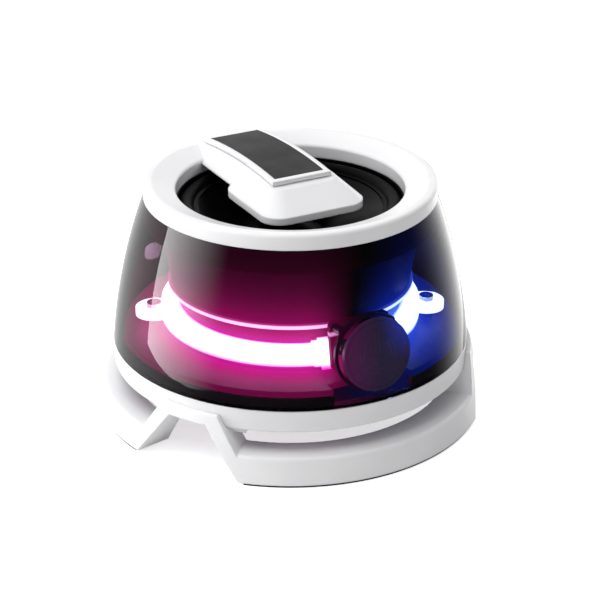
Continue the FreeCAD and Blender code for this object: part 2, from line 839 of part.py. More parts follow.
def make_basket():
    body = new_body("speaker_basket")
    floor_top = total(basket_floor, "basket_skin")
    step = total(floor_top, "spider_ledge")
    wall_top = minus(flange_top, "basket_gap")
    rim_inner = f"({roll_inner} + surround_glue)"
    bore = total(coil_bore, "basket_gap")
    turned(body, [(bore, basket_floor), (total("basket_floor_radius", "basket_skin"), basket_floor),
                  (total("spider_radius", "basket_skin", "basket_gap"), minus(step, "basket_gap * 2")),
                  (total(rim_inner, "basket_skin", "basket_gap"), minus(flange_top, "fit_gap")),
                  (total(rim_inner, "basket_skin", "basket_gap", "fit_gap"), flange_top),
                  (driver_flange_radius, flange_top),
                  (driver_flange_radius, total(flange_top, "driver_flange")),
                  (rim_inner, total(flange_top, "driver_flange")), (rim_inner, wall_top),
                  (total("spider_radius", "fit_gap"), step), ("basket_floor_radius", step),
                  ("basket_floor_radius", floor_top), (bore, floor_top)])
    doc.recompute()
    window = f"(spider_radius + {rim_inner}) / 2 + fit_gap * 2"
    drilled(body, around(window, range(0, 360, 60)), f"({rim_inner} - spider_radius) / 2 - window_margin",
            minus(flange_top, "window_drop"), "basket_depth")
    drilled(body, around(driver_screw_radius, DRIVER_SCREWS), total(driver_shank, "fit_gap / 2"),
            total(flange_top, "driver_flange"), "driver_flange * 2")


def make_driver_screws():
    body = new_body("driver_screws")
    places = around(driver_screw_radius, DRIVER_SCREWS)
    seat = total(flange_top, "driver_flange")
    posts(body, places, "screw_radius * driver_head_share", seat, "driver_head_height")
    shank = minus(total("driver_flange", "flange_thickness"), "fit_gap * 2")
    posts(body, places, driver_shank, minus(seat, shank), shank)


def make_magnet_system():
    plate = new_body("top_plate")
    turned(plate, [(coil_bore, plate_bottom), ("plate_radius", plate_bottom),
                   ("plate_radius", basket_floor), (coil_bore, basket_floor)])
    magnet = new_body("magnet")
    turned(magnet, [(total(coil_bore, "magnet_bore_gap"), magnet_bottom), ("magnet_radius", magnet_bottom),
                    ("magnet_radius", plate_bottom), (total(coil_bore, "magnet_bore_gap"), plate_bottom)])
    yoke = new_body("yoke")
    pole = minus("coil_radius", "pole_gap")
    turned(yoke, [("0", minus(magnet_bottom, "yoke_thickness")),
                  (minus("plate_radius", "yoke_inset"), minus(magnet_bottom, "yoke_thickness")),
                  (minus("plate_radius", "yoke_inset"), magnet_bottom), (pole, magnet_bottom),
                  (pole, basket_floor), ("0", basket_floor)])


def make_coil():
    former = new_body("coil_former")
    top = cone_level(cone_base)
    bottom = minus(plate_bottom, "coil_overhang")
    turned(former, [("coil_radius", bottom), (cone_base, bottom), (cone_base, minus(top, "fit_gap / 2")),
                    ("coil_radius", minus(top, "fit_gap / 2"))])
    winding = new_body("voice_coil")
    inner, outer = total(cone_base, "touch_gap"), total(cone_base, "coil_winding")
    low = total(bottom, "coil_winding")
    high = total(plate_bottom, "plate_thickness / 2", "winding_half")
    turned(winding, [(inner, low), (outer, low), (outer, high), (inner, high)])


def make_cone():
    body = new_body("cone")
    foot = total(cone_base, "touch_gap")
    turned(body, [(foot, minus(cone_level(foot), "cone_skin")),
                  (cone_rim, minus(rim_level, "cone_skin")),
                  (minus(roll_inner, "touch_gap"), minus(rim_level, "cone_skin")),
                  (minus(roll_inner, "touch_gap"), rim_level),
                  (cone_rim, rim_level), (foot, cone_level(foot))])


def make_dust_cap():
    body = new_body("dust_cap")
    edge = total(cone_level("cap_radius"), "cap_lift")
    outer = "((cap_radius ^ 2 + cap_rise ^ 2) / (2 * cap_rise))"
    inner_edge = "(cap_radius - cap_foot)"
    inner_rise = "(cap_rise - cap_skin)"
    inner = f"(({inner_edge} ^ 2 + {inner_rise} ^ 2) / (2 * {inner_rise}))"
    turned(body, [("0", total(edge, inner_rise)), (inner_edge, edge), ("cap_radius", edge),
                  ("0", total(edge, "cap_rise"))], {0: (inner, -1), 2: (outer, 1)})


def make_surround():
    body = new_body("surround")
    height = "surround_width / 2"
    low = total(rim_level, "touch_gap")
    lip = total(low, "surround_skin")
    seat = total(flange_top, "driver_flange")
    glue = total(cone_rim, "surround_lap")
    edge = minus(roll_outer, "surround_lap * 1.5")
    turned(body, [(glue, low), (total(roll_inner, "surround_lap / 2"), low), (edge, low), (edge, seat),
                  (gasket_outer, seat), (gasket_outer, rim_level), (roll_outer, rim_level),
                  (minus(roll_inner, "surround_lap"), lip), (glue, lip)],
           {1: (f"{height} * 1.02 - surround_lap", -1), 6: (f"{height} * 1.06 + surround_lap / 2", 1)})
    gasket = new_body("driver_gasket")
    turned(gasket, [(total(gasket_inner, "touch_gap"), rim_level), (gasket_outer, rim_level),
                    (gasket_outer, gasket_top), (total(gasket_inner, "touch_gap"), gasket_top)])


def make_spider():
    """Corrugated centring disc: a zigzag one skin thick."""
    body = new_body("spider")
    level = total(basket_floor, "basket_skin", "spider_ledge")
    start = total(cone_base, "coil_winding", "basket_gap")
    waves = 10
    lower = []
    for step in range(waves + 1):
        radius = f"({start} + (spider_radius - {start}) * {step / waves})"
        lower.append((radius, total(level, "spider_wave" if step % 2 and step < waves else 0)))
    upper = [(radius, total(height, "spider_skin")) for radius, height in reversed(lower)]
    turned(body, lower + upper)


# ---------------------------------------------------------------- crown ring and bridge

def arch_level(level, along):
    """Height of the arch that passes through a level at its middle."""
    centre = f"({frame_level} - arch_radius)"
    reach = f"(({level}) - {centre})"
    return f"({centre} + sqrt({reach} ^ 2 - (({along}) - arch_centre) ^ 2))"


def add_arched_strip(sketch, front, back, low, high):
    centre = f"({frame_level} - arch_radius)"
    corners = [(front, arch_level(low, front)), (back, arch_level(low, back)),
               (back, arch_level(high, back)), (front, arch_level(high, front))]
    add_outline(sketch, corners, {0: (f"{low} - {centre}", -1), 2: (f"{high} - {centre}", 1)})


frame_bottom = minus(frame_level, "frame_thickness")
arm_level = minus(frame_bottom, "groove_height")
inlay_bottom = minus(frame_level, "inlay_thickness")


def bridge_half_width(level):
    """The bridge's sides flare evenly below the frame."""
    return f"(bridge_half_top + bridge_flare * ({frame_bottom} - ({level})))"


def make_crown():
    body = new_body("top_ring")
    inner = "opening_radius"
    seat = driver_flange_radius
    crest = minus("crown_radius", "crown_edge", "crest_width")
    turned(body, [(inner, gasket_top), (seat, gasket_top), (seat, shell_top), ("crown_radius", shell_top),
                  ("crown_radius", minus(crown_top, "crown_edge")),
                  (minus("crown_radius", "crown_edge"), crown_top), (crest, crown_top),
                  (total(inner, "opening_lead"), total(opening_top, "fit_gap * 2")),
                  (inner, minus(opening_top, "fit_gap"))],
           {4: ("crown_edge", 1), 7: ("opening_round", 1)})
    arm_bottom = total(shell_top, "arm_drop")
    arm = new_sketch(body, "XZ_Plane", "arm_overlap - nose_back")
    # the arm and nose rise past the arch, which then trims them
    peak = total(frame_level, "arm_overlap")
    half_low = bridge_half_width(arm_bottom)
    half_high = bridge_half_width(peak)
    add_outline(arm, [(f"-{half_low}", arm_bottom), (half_low, arm_bottom),
                      (half_high, peak), (f"-{half_high}", peak)])
    arm_pad = pad(body, arm, "bridge_back + cut_past + arm_overlap - nose_back")
    arm_pad.Reversed = True
    nose_bottom = minus(shell_top, "nose_drop")
    lip_top = total(nose_bottom, "nose_lip")
    lip = new_sketch(body, "XY_Plane", nose_bottom)
    add_rounded_rectangle(lip, "nose_half_width", "-nose_front", "nose_back", "nose_corner")
    pad(body, lip, "nose_lip")
    low = new_sketch(body, "XY_Plane", lip_top)
    add_rounded_rectangle(low, "nose_half_width", "-nose_front", "nose_back", "nose_corner")
    high = new_sketch(body, "XY_Plane", peak)
    slope = f"(nose_front - bridge_front) / ({frame_bottom} - {lip_top})"
    front = f"-bridge_front + {slope} * ({peak} - {frame_bottom})"
    add_rounded_rectangle(high, bridge_half_width(peak), front, "nose_back - nose_top_inset",
                          "nose_top_corner")
    lofted(body, "PartDesign::AdditiveLoft", low, high)
    trim = new_sketch(body, "YZ_Plane")
    margin = "6"
    add_arched_strip(trim, "-nose_front", f"crown_radius + {margin}", arm_level, total(peak, margin))
    pocket(body, trim, "crown_radius * 2", symmetric=True)


def make_bridge_frame():
    body = new_body("bridge_frame")
    plinth = new_sketch(body, "YZ_Plane")
    add_arched_strip(plinth, "-bridge_front + groove_depth", "bridge_back - groove_depth", arm_level,
                     frame_bottom)
    pad(body, plinth, "(bridge_half_top - groove_depth) * 2", symmetric=True)
    plate = new_sketch(body, "YZ_Plane")
    add_arched_strip(plate, "-bridge_front", "bridge_back", frame_bottom, frame_level)
    pad(body, plate, "bridge_half_top * 2", symmetric=True)
    recess = new_sketch(body, "YZ_Plane")
    gap = "fit_gap / 4"
    add_arched_strip(recess, f"-inlay_front - {gap}", f"inlay_back + {gap}", inlay_bottom,
                     total(frame_level, "cut_past"))
    pocket(body, recess, f"(inlay_half_width + {gap}) * 2", symmetric=True)


def make_inlay():
    body = new_body("grip_inlay")
    strip = new_sketch(body, "YZ_Plane")
    add_arched_strip(strip, "-inlay_front", "inlay_back", inlay_bottom, frame_level)
    pad(body, strip, "inlay_half_width * 2", symmetric=True)


# ---------------------------------------------------------------- power button

button_back = "(button_proud - button_thickness)"
flange_back = minus(button_back, "button_flange_depth")
stem_end = minus(button_back, "stem_length")
switch_face = minus(stem_end, "touch_gap", "plunger_height")
board_face = minus(switch_face, "switch_height")
ICON_ARCS = ((-58, 58), (75, 135), (225, 285))
POST_PLACES = (("-post_aside", "post_up"), ("post_aside", "post_up"))


def make_button():
    body = new_body("power_button")
    sketch = new_sketch(body, "XY_Plane", button_back)
    add_circle(sketch, ("0", "0"), "button_radius")
    pad(body, sketch, "button_thickness")
    posts(body, [("0", "0")], "button_radius + button_flange", flange_back, "button_flange_depth")
    posts(body, [("0", "0")], "stem_radius", stem_end, minus(flange_back, stem_end))
    recess = new_sketch(body, "XY_Plane", "button_proud")
    draw_icon(recess, "icon_gap")
    pocket(body, recess, "icon_depth")
    on_button_axis(body)
    icon = new_body("button_icon")
    sketch = new_sketch(icon, "XY_Plane", minus("button_proud", "icon_depth"))
    draw_icon(sketch, "0")
    pad(icon, sketch, "icon_depth")
    on_button_axis(icon)


def draw_icon(sketch, grow):
    """Broken ring of three arcs with an upright bar in the gap at its top."""
    for first, last in ICON_ARCS:
        half = f"(icon_stroke / 2 + {grow})"
        add_sector(sketch, f"icon_radius - {half}", f"icon_radius + {half}",
                   f"{first} - {grow} * 10", f"{last} + {grow} * 10")
    add_rectangle(sketch, f"icon_stroke / 2 + {grow}", f"icon_bar_start - {grow}",
                  f"icon_bar_start + icon_bar_length + {grow}")


def make_bezel():
    body = new_body("button_bezel")
    bore = total("button_radius", "button_gap")
    outer = total(bore, "bezel_wall")
    wide_bore = total("button_radius", "button_flange", "button_gap")
    lip_back = total(button_back, "fit_gap / 2")
    skirt = "-bezel_skirt"
    flange_end = minus(skirt, "bezel_flange_depth")
    turned(body, [(bore, lip_back), (bore, "bezel_proud"), (outer, "bezel_proud"), (outer, skirt),
                  (bezel_outer, skirt), (bezel_outer, flange_end), (wide_bore, flange_end),
                  (wide_bore, lip_back)])
    doc.recompute()
    posts(body, POST_PLACES, "post_radius", board_face, minus(flange_end, board_face))
    drilled(body, POST_PLACES, total("post_screw_radius", "touch_gap"), board_face,
            minus(flange_end, board_face, "fit_gap"), upward=True)
    on_button_axis(body)


def make_switch():
    plunger = new_body("switch_plunger")
    posts(plunger, [("0", "0")], "plunger_radius", minus(switch_face, "button_travel * 2"),
          total("plunger_height", "button_travel * 2"))
    on_button_axis(plunger)
    switch = new_body("tact_switch")
    sketch = new_sketch(switch, "XY_Plane", board_face)
    add_rounded_rectangle(sketch, "switch_width / 2", "-switch_width / 2", "switch_width / 2",
                          "switch_corner")
    pad(switch, sketch, "switch_height")
    drilled(switch, [("0", "0")], "plunger_radius + fit_gap / 4", switch_face, "button_travel * 4")
    on_button_axis(switch)
    board = new_body("switch_board")
    sketch = new_sketch(board, "XY_Plane", minus(board_face, "board_thickness"))
    add_rounded_rectangle(sketch, "post_aside + post_margin", "-board_drop", "post_up + post_margin",
                          "board_corner")
    pad(board, sketch, "board_thickness")
    drilled(board, POST_PLACES, total("post_screw_radius", "fit_gap / 2"), board_face,
            "board_thickness + cut_past")
    on_button_axis(board)
    fixings = new_body("switch_board_screws")
    back = minus(board_face, "board_thickness")
    posts(fixings, POST_PLACES, "post_radius", minus(back, "post_screw_head"), "post_screw_head")
    posts(fixings, POST_PLACES, "post_screw_radius", back, total("board_thickness", "post_screw_reach"))
    on_button_axis(fixings)


# ---------------------------------------------------------------- electronics

board_bottom = total(cover_top, "main_board_lift")
board_top = total(board_bottom, "main_board_thickness")


def make_electronics():
    board = new_body("main_board")
    sketch = new_sketch(board, "XY_Plane", board_bottom)
    reach = port_reach()
    inner = minus(reach, "main_board_length")
    half = "main_board_width / 2"
    add_outline(sketch, [toward_port(inner, f"-{half}"), toward_port(reach, f"-{half}"),
                         toward_port(reach, half), toward_port(inner, half)])
    pad(board, sketch, "main_board_thickness")
    drilled(board, board_post_places(), total("screw_radius", "fit_gap / 2"), board_bottom,
            "main_board_thickness + cut_past", upward=True)

    middle = total(board_bottom, "main_board_thickness / 2")
    socket = new_body("usb_c_socket")
    sketch = new_sketch(socket, "XZ_Plane", reach)
    low, high = f"{middle} - port_height / 2", f"{middle} + port_height / 2"
    add_rounded_rectangle(sketch, "port_width / 2", low, high, "port_height / 2 - fit_gap / 2")
    pad(socket, sketch, "port_length")
    cavity = new_sketch(socket, "XZ_Plane", total(reach, "port_length"))
    add_rounded_rectangle(cavity, "port_width / 2 - port_wall", f"{low} + port_wall", f"{high} - port_wall",
                          "port_height / 2 - fit_gap / 2 - port_wall")
    pocket(socket, cavity, "port_length - cut_past")
    tongue = new_sketch(socket, "XZ_Plane", total(reach, "tongue_back"))
    add_rounded_rectangle(tongue, "port_width / 2 - tongue_inset", f"{middle} - tongue_half",
                          f"{middle} + tongue_half", "tongue_half / 2")
    pad(socket, tongue, "port_length - tongue_back - tongue_tip")
    bind(socket, "Placement.Rotation.Angle", "port_angle")

    chips = {"amplifier_chip": "chip_aside", "radio_module": "-chip_aside"}
    for name, aside in chips.items():
        body = new_body(name)
        sketch = new_sketch(body, "XY_Plane", board_top)
        distance = f"({inner} + main_board_length * chip_place)"
        corners = [toward_port(f"{distance} {out} chip_size / 2", f"{aside} {over} chip_size / 2")
                   for out, over in (("-", "-"), ("+", "-"), ("+", "+"), ("-", "+"))]
        add_outline(sketch, corners)
        pad(body, sketch, "chip_height")


def make_battery():
    angle = "port_angle + 90"
    place = polar("battery_radius", "port_angle + 180")
    cell = box("battery", place, "battery_length", "battery_width", "battery_height", cover_top, angle)
    finished.append(cell)
    outer = box("strap_outer", place, "strap_width", "battery_width + strap_skin * 2 + strap_gap * 2",
                "battery_height + strap_skin + strap_gap", cover_top, angle)
    inner = box("strap_inner", place, "strap_width + cut_past", "battery_width + strap_gap * 2",
                "battery_height + strap_gap", cover_top, angle)
    strap = doc.addObject("Part::Cut", "battery_strap")
    strap.Label = "battery_strap"
    strap.Base = outer
    strap.Tool = inner
    finished.append(strap)


# ---------------------------------------------------------------- build, check and write

def build_all():
    make_stand()
    make_foot_pads()
    make_base_ring()
    make_bottom_cover()
    make_deck()
    for side in GUIDES:
        make_light_guide(side)
        make_led_board(side)
    make_shell()
    make_liner()
    make_chamber()
    make_basket()
    make_driver_screws()
    make_magnet_system()
    make_coil()
    make_cone()
    make_dust_cap()
    make_surround()
    make_spider()
    make_crown()
    make_bridge_frame()
    make_inlay()
    make_button()
    make_bezel()
    make_switch()
    make_electronics()
    make_battery()
    screws("stand_screws", around(stand_screw_radius, NOTCHES), "shelf_bottom",
           "under_gap + ring_height - shelf_bottom - cut_past")
    screws("cover_screws", around(cover_screw_radius, COVER_SCREWS), "under_gap",
           "cover_thickness + screw_grip")
    screws("chamber_screws", around(chamber_screw_radius, FEET.values()), deck_bottom,
           "deck_thickness + screw_grip - cut_past")
    screws("guide_screws", around(ear_screw_radius, EARS["left"] + EARS["right"]), ear_top,
           "ear_thickness + screw_grip - cut_past", heads_up=True)
    screws("main_board_screws", board_post_places(), board_top, "main_board_thickness + main_board_lift",
           heads_up=True)


def check_all():
    doc.recompute()
    for thing in doc.Objects:
        if {"Invalid", "Error"} & set(thing.State):
            raise RuntimeError(f"{thing.Label} failed: {thing.State}")
    for thing in finished:
        if thing.Shape.isNull() or not thing.Shape.isValid():
            raise RuntimeError(f"{thing.Label} has no valid shape")


def write_all():
    os.makedirs("parts", exist_ok=True)
    for thing in finished:
        thing.Shape.exportStep(f"parts/{thing.Label}.step")


build_all()
check_all()
write_all()
print(len(finished), "sub-parts written")
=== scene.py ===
import bpy
import math
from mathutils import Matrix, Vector

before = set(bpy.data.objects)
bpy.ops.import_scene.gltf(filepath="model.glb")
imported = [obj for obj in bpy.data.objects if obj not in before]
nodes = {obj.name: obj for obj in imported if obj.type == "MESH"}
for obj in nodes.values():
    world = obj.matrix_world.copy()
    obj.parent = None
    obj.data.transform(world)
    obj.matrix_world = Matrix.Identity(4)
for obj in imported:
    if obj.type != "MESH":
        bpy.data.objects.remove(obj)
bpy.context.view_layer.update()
print("frame loaded:", len(nodes), "nodes")

scene = bpy.context.scene
scene.view_settings.view_transform = "Standard"
scene.view_settings.look = "None"


# small helpers for node trees
def feed(tree, value, socket):
    if isinstance(value, bpy.types.NodeSocket):
        tree.links.new(value, socket)
    else:
        socket.default_value = value


def calc(tree, operation, *values, clamp=False):
    node = tree.nodes.new("ShaderNodeMath")
    node.operation = operation
    node.use_clamp = clamp
    for socket, value in zip(node.inputs, values):
        feed(tree, value, socket)
    return node.outputs[0]


softDetail = 2.0


def noise(tree, vector, scale, detail=3.0):
    node = tree.nodes.new("ShaderNodeTexNoise")
    feed(tree, vector, node.inputs["Vector"])
    feed(tree, scale, node.inputs["Scale"])
    node.inputs["Detail"].default_value = detail
    return node.outputs["Fac"]


def ramp(tree, value, low, high, start=0.0, stop=1.0):
    node = tree.nodes.new("ShaderNodeMapRange")
    node.interpolation_type = "SMOOTHSTEP"
    for socket, number in zip(node.inputs, (value, low, high, start, stop)):
        feed(tree, number, socket)
    return node.outputs["Result"]


def mixColour(tree, share, first, second, mode="MIX"):
    node = tree.nodes.new("ShaderNodeMix")
    node.data_type = "RGBA"
    node.blend_type = mode
    for socket, value in zip((node.inputs[0], node.inputs[6], node.inputs[7]), (share, first, second)):
        feed(tree, value, socket)
    return node.outputs[2]


def newGroup(name, inputs, outputs):
    group = bpy.data.node_groups.new(name, "ShaderNodeTree")
    for label, kind in inputs.items():
        group.interface.new_socket(label, in_out="INPUT", socket_type="NodeSocket" + kind)
    for label, kind in outputs.items():
        group.interface.new_socket(label, in_out="OUTPUT", socket_type="NodeSocket" + kind)
    start = group.nodes.new("NodeGroupInput")
    end = group.nodes.new("NodeGroupOutput")
    return group, start.outputs, end.inputs


def useGroup(tree, group, **values):
    node = tree.nodes.new("ShaderNodeGroup")
    node.node_tree = group
    for label, value in values.items():
        feed(tree, value, node.inputs[label])
    return node.outputs


def polarParts(tree, where):
    # height, distance from the upright axis, and angle in degrees from the front
    apart = tree.nodes.new("ShaderNodeSeparateXYZ")
    feed(tree, where, apart.inputs[0])
    across, along, level = apart.outputs
    radius = calc(tree, "SQRT", calc(tree, "ADD", calc(tree, "MULTIPLY", across, across),
                                     calc(tree, "MULTIPLY", along, along)))
    angle = calc(tree, "DEGREES", calc(tree, "ARCTAN2", across, calc(tree, "MULTIPLY", along, -1.0)))
    return level, radius, angle


view = {"azimuth": -28.0, "elevation": 25.4, "distance": 0.5, "target": (0, 0, 0.0243), "lens": 114.0,
        "shiftX": 0.0156, "sensor": 36}


def makeCamera():
    camera = bpy.data.objects.new("camera", bpy.data.cameras.new("camera"))
    scene.collection.objects.link(camera)
    azimuth = math.radians(view["azimuth"])
    elevation = math.radians(view["elevation"])
    away = Vector((math.sin(azimuth) * math.cos(elevation), -math.cos(azimuth) * math.cos(elevation),
                   math.sin(elevation)))
    target = Vector(view["target"])
    camera.location = target + away * view["distance"]
    camera.rotation_euler = (target - camera.location).to_track_quat("-Z", "Y").to_euler()
    camera.data.lens = view["lens"]
    camera.data.sensor_width = view["sensor"]
    camera.data.shift_x = view["shiftX"]
    scene.camera = camera


# how bright the surroundings are to the camera, in diffuse light, in reflections and through the shell;
# reflections brighten from fadeFrom to fadeTo, measured along the way behind the object
studio = {"backdrop": 1.0, "diffuse": 0.42, "reflected": 0.03, "behind": 1.05, "through": 0.05,
          "back": (0.0, 1.0, 0.0), "fadeFrom": -0.25, "fadeTo": 0.75, "aim": (0, 0, 0.03), "fadePeak": 2.0}
white = (1, 1, 1, 1)
black = (0, 0, 0, 1)


def makeWorld():
    world = bpy.data.worlds.new("studio")
    scene.world = world
    world.use_nodes = True
    tree = world.node_tree
    tree.nodes.clear()
    path = tree.nodes.new("ShaderNodeLightPath").outputs
    output = tree.nodes.new("ShaderNodeOutputWorld")
    background = tree.nodes.new("ShaderNodeBackground")
    background.inputs["Color"].default_value = white
    tree.links.new(background.outputs["Background"], output.inputs["Surface"])
    facing = tree.nodes.new("ShaderNodeVectorMath")
    facing.operation = "DOT_PRODUCT"
    feed(tree, tree.nodes.new("ShaderNodeTexCoord").outputs["Generated"], facing.inputs[0])
    facing.inputs[1].default_value = studio["back"]
    surround = ramp(tree, facing.outputs["Value"], studio["fadeFrom"], studio["fadeTo"],
                    studio["reflected"], studio["behind"])
    mirror = calc(tree, "SUBTRACT", path["Is Glossy Ray"], path["Is Transmission Ray"], clamp=True)
    mirror = calc(tree, "MULTIPLY", mirror, surround)
    level = 0.0
    for ray, name in ((path["Is Camera Ray"], "backdrop"), (path["Is Diffuse Ray"], "diffuse"),
                      (path["Is Transmission Ray"], "through")):
        level = calc(tree, "MULTIPLY_ADD", ray, studio[name], level)
    level = calc(tree, "ADD", level, mirror)
    tree.links.new(level, background.inputs["Strength"])


# place, width and height, power, whether gloss shows it, and the side it grows brighter towards
panels = {
    "keyPanel": {"place": (-0.20, 0.05, 0.60), "size": (0.50, 0.50), "power": 2.75, "mirrored": False},
    "leftPanel": {"place": (-0.59, 0.10, 0.07), "size": (0.66, 0.46), "power": 3.6, "mirrored": True,
                  "fade": -1},
    "rightPanel": {"place": (0.60, 0.09, 0.03), "size": (0.80, 0.56), "power": 1.0, "mirrored": True,
                   "fade": 1},
}


def makeLights():
    for name, kind in panels.items():
        light = bpy.data.lights.new(name, "AREA")
        light.shape = "RECTANGLE"
        light.size, light.size_y = kind["size"]
        light.energy = kind["power"]
        if "fade" in kind:
            light.use_nodes = True
            tree = light.node_tree
            apart = tree.nodes.new("ShaderNodeSeparateXYZ")
            feed(tree, tree.nodes.new("ShaderNodeNewGeometry").outputs["Parametric"], apart.inputs[0])
            ends = (0.0, 1.0) if kind["fade"] > 0 else (1.0, 0.0)
            strength = ramp(tree, apart.outputs["X"], *ends, 0.0, studio["fadePeak"])
            feed(tree, strength, tree.nodes["Emission"].inputs["Strength"])
        panel = bpy.data.objects.new(name, light)
        scene.collection.objects.link(panel)
        panel.visible_glossy = kind["mirrored"]
        panel.visible_transmission = False
        panel.location = kind["place"]
        panel.rotation_euler = (Vector(studio["aim"]) - panel.location).to_track_quat("-Z", "Y").to_euler()


ground = {"radius": 3.0, "corners": 96, "colour": (0.9, 0.9, 0.9, 1), "rough": 0.9, "lift": 0.62}


def makeFloor():
    bpy.ops.object.select_all(action="DESELECT")
    bpy.ops.mesh.primitive_circle_add(vertices=ground["corners"], radius=ground["radius"],
                                      fill_type="NGON")
    floor = bpy.context.object
    floor.name = "floor"
    material = bpy.data.materials.new("paleFloor")
    material.use_nodes = True
    tree = material.node_tree
    shader = tree.nodes["Principled BSDF"].inputs
    shader["Base Color"].default_value = ground["colour"]
    shader["Roughness"].default_value = ground["rough"]
    shader["Specular IOR Level"].default_value = 0.0
    shader["Emission Color"].default_value = white
    seen = tree.nodes.new("ShaderNodeLightPath").outputs["Is Camera Ray"]
    feed(tree, calc(tree, "MULTIPLY", seen, ground["lift"]), shader["Emission Strength"])
    floor.data.materials.append(material)
    floor.visible_glossy = False
    floor.visible_transmission = False


makeCamera()
makeWorld()
makeLights()
makeFloor()
print("studio ready")


# effects shared by the finishes; scales are in waves per metre
grains = {"finer": 5.3, "broader": 0.06, "fineShare": 0.45, "coarseShare": 0.55,
          "toneFrom": 0.3, "toneTo": 0.7}


def makeGrain():
    group, given, out = newGroup("mouldedGrain", {"Vector": "Vector", "Scale": "Float"},
                                 {"Height": "Float", "Tone": "Float"})
    where, scale = given["Vector"], given["Scale"]
    coarse = noise(group, where, scale)
    fine = noise(group, where, calc(group, "MULTIPLY", scale, grains["finer"]))
    broad = noise(group, where, calc(group, "MULTIPLY", scale, grains["broader"]), softDetail)
    height = calc(group, "MULTIPLY_ADD", fine, grains["fineShare"],
                  calc(group, "MULTIPLY", coarse, grains["coarseShare"]))
    feed(group, height, out["Height"])
    feed(group, ramp(group, broad, grains["toneFrom"], grains["toneTo"]), out["Tone"])
    return group


# dust specks and where they gather, then smudges: scale, and where the ramp starts and ends
handled = {"specks": (620, 0.16, 0.06), "drifts": (55.0, 0.52, 0.66), "smudges": (90.0, 0.42, 0.68),
           "smudgeDetail": 5.0}


def makeHandling():
    group, given, out = newGroup("dustAndTouch", {"Vector": "Vector"}, {"Dust": "Float", "Smudge": "Float"})
    where = given["Vector"]
    specks, drifts, smudges = handled["specks"], handled["drifts"], handled["smudges"]
    cells = group.nodes.new("ShaderNodeTexVoronoi")
    feed(group, where, cells.inputs["Vector"])
    cells.inputs["Scale"].default_value = specks[0]
    spots = ramp(group, cells.outputs["Distance"], *specks[1:])
    gathered = ramp(group, noise(group, where, drifts[0]), *drifts[1:])
    feed(group, calc(group, "MULTIPLY", spots, gathered), out["Dust"])
    touched = noise(group, where, smudges[0], handled["smudgeDetail"])
    feed(group, ramp(group, touched, *smudges[1:]), out["Smudge"])
    return group


# how far a rounded normal turns from the plain one before an edge is lightened, partly as wear and partly as a
# painted edge highlight, and how strongly it is
edgeWearAndHighlight = {"samples": 6, "from": 0.995, "to": 0.8, "share": 0.5, "lighter": 1.25, "lift": 0.01}


def makeEdges():
    group, given, out = newGroup("softEdges", {"Radius": "Float"}, {"Edge": "Float", "Normal": "Vector"})
    bevel = group.nodes.new("ShaderNodeBevel")
    bevel.samples = edgeWearAndHighlight["samples"]
    feed(group, given["Radius"], bevel.inputs["Radius"])
    plain = group.nodes.new("ShaderNodeNewGeometry")
    match = group.nodes.new("ShaderNodeVectorMath")
    match.operation = "DOT_PRODUCT"
    feed(group, bevel.outputs["Normal"], match.inputs[0])
    feed(group, plain.outputs["Normal"], match.inputs[1])
    feed(group, ramp(group, match.outputs["Value"], edgeWearAndHighlight["from"], edgeWearAndHighlight["to"]), out["Edge"])
    feed(group, bevel.outputs["Normal"], out["Normal"])
    return group


# the two light guides' glow, painted as emission on the parts around them: middle of their section, the bowl's
# painted bright lip, the angles where each guide begins and ends and how softly, how the light falls away, and
# its colours far off, near and on the lip
glow = {"radius": 0.0306, "level": 0.0262,
        "lipFrom": (0.0329, 0.0334), "lipTo": (0.0344, 0.0339), "lipLift": 5.0, "lipPale": 0.8,
        "left": (-9.5, -161.5), "right": (12.0, 164.0), "inside": 14, "outside": 12,
        "haloFall": 3.0, "haloShare": 1.2, "hotFrom": 0.1, "hotTo": 0.5,
        "leftColour": (1.0, 0.015, 0.36, 1), "leftHot": (0.9, 0.05, 1.0, 1), "leftPale": (1.0, 0.6, 1.0, 1),
        "rightColour": (0.01, 0.06, 1.0, 1), "rightHot": (0.15, 0.5, 1.0, 1),
        "rightPale": (0.5, 0.8, 1.0, 1)}


def makeGlow():
    group, given, out = newGroup("paintedInsideGlow", {"Vector": "Vector", "Reach": "Float"}, {"Colour": "Color"})
    level, radius, angle = polarParts(group, given["Vector"])
    aside = calc(group, "SUBTRACT", radius, glow["radius"])
    above = calc(group, "SUBTRACT", level, glow["level"])
    distance = calc(group, "SQRT", calc(group, "ADD", calc(group, "MULTIPLY", aside, aside),
                                        calc(group, "MULTIPLY", above, above)))
    steps = calc(group, "MULTIPLY", calc(group, "DIVIDE", distance, given["Reach"]), -1.0)
    halo = calc(group, "EXPONENT", calc(group, "MULTIPLY", steps, glow["haloFall"]))
    fade = calc(group, "MULTIPLY_ADD", halo, glow["haloShare"], calc(group, "EXPONENT", steps))
    near = ramp(group, halo, glow["hotFrom"], glow["hotTo"])
    lip = calc(group, "MULTIPLY", ramp(group, level, *glow["lipFrom"]), ramp(group, level, *glow["lipTo"]))
    pale = calc(group, "MULTIPLY", lip, glow["lipPale"])
    colour = black
    for side, turn in (("left", -1), ("right", 1)):
        first, last = glow[side]
        begins = ramp(group, angle, first - turn * glow["outside"], first + turn * glow["inside"])
        ends = ramp(group, angle, last + turn * glow["inside"], last - turn * glow["outside"])
        share = calc(group, "MULTIPLY", fade, calc(group, "MULTIPLY", begins, ends))
        hue = mixColour(group, near, glow[side + "Colour"], glow[side + "Hot"])
        hue = mixColour(group, pale, hue, glow[side + "Pale"])
        lit = mixColour(group, share, black, hue)
        colour = mixColour(group, 1.0, colour, lit, "ADD")
    lift = calc(group, "MULTIPLY_ADD", lip, glow["lipLift"], 1.0)
    feed(group, mixColour(group, 1.0, colour, lift, "MULTIPLY"), out["Colour"])
    return group


effects = {"grain": makeGrain(), "handling": makeHandling(), "edges": makeEdges(), "glow": makeGlow()}
print("shared effects:", ", ".join(effects))


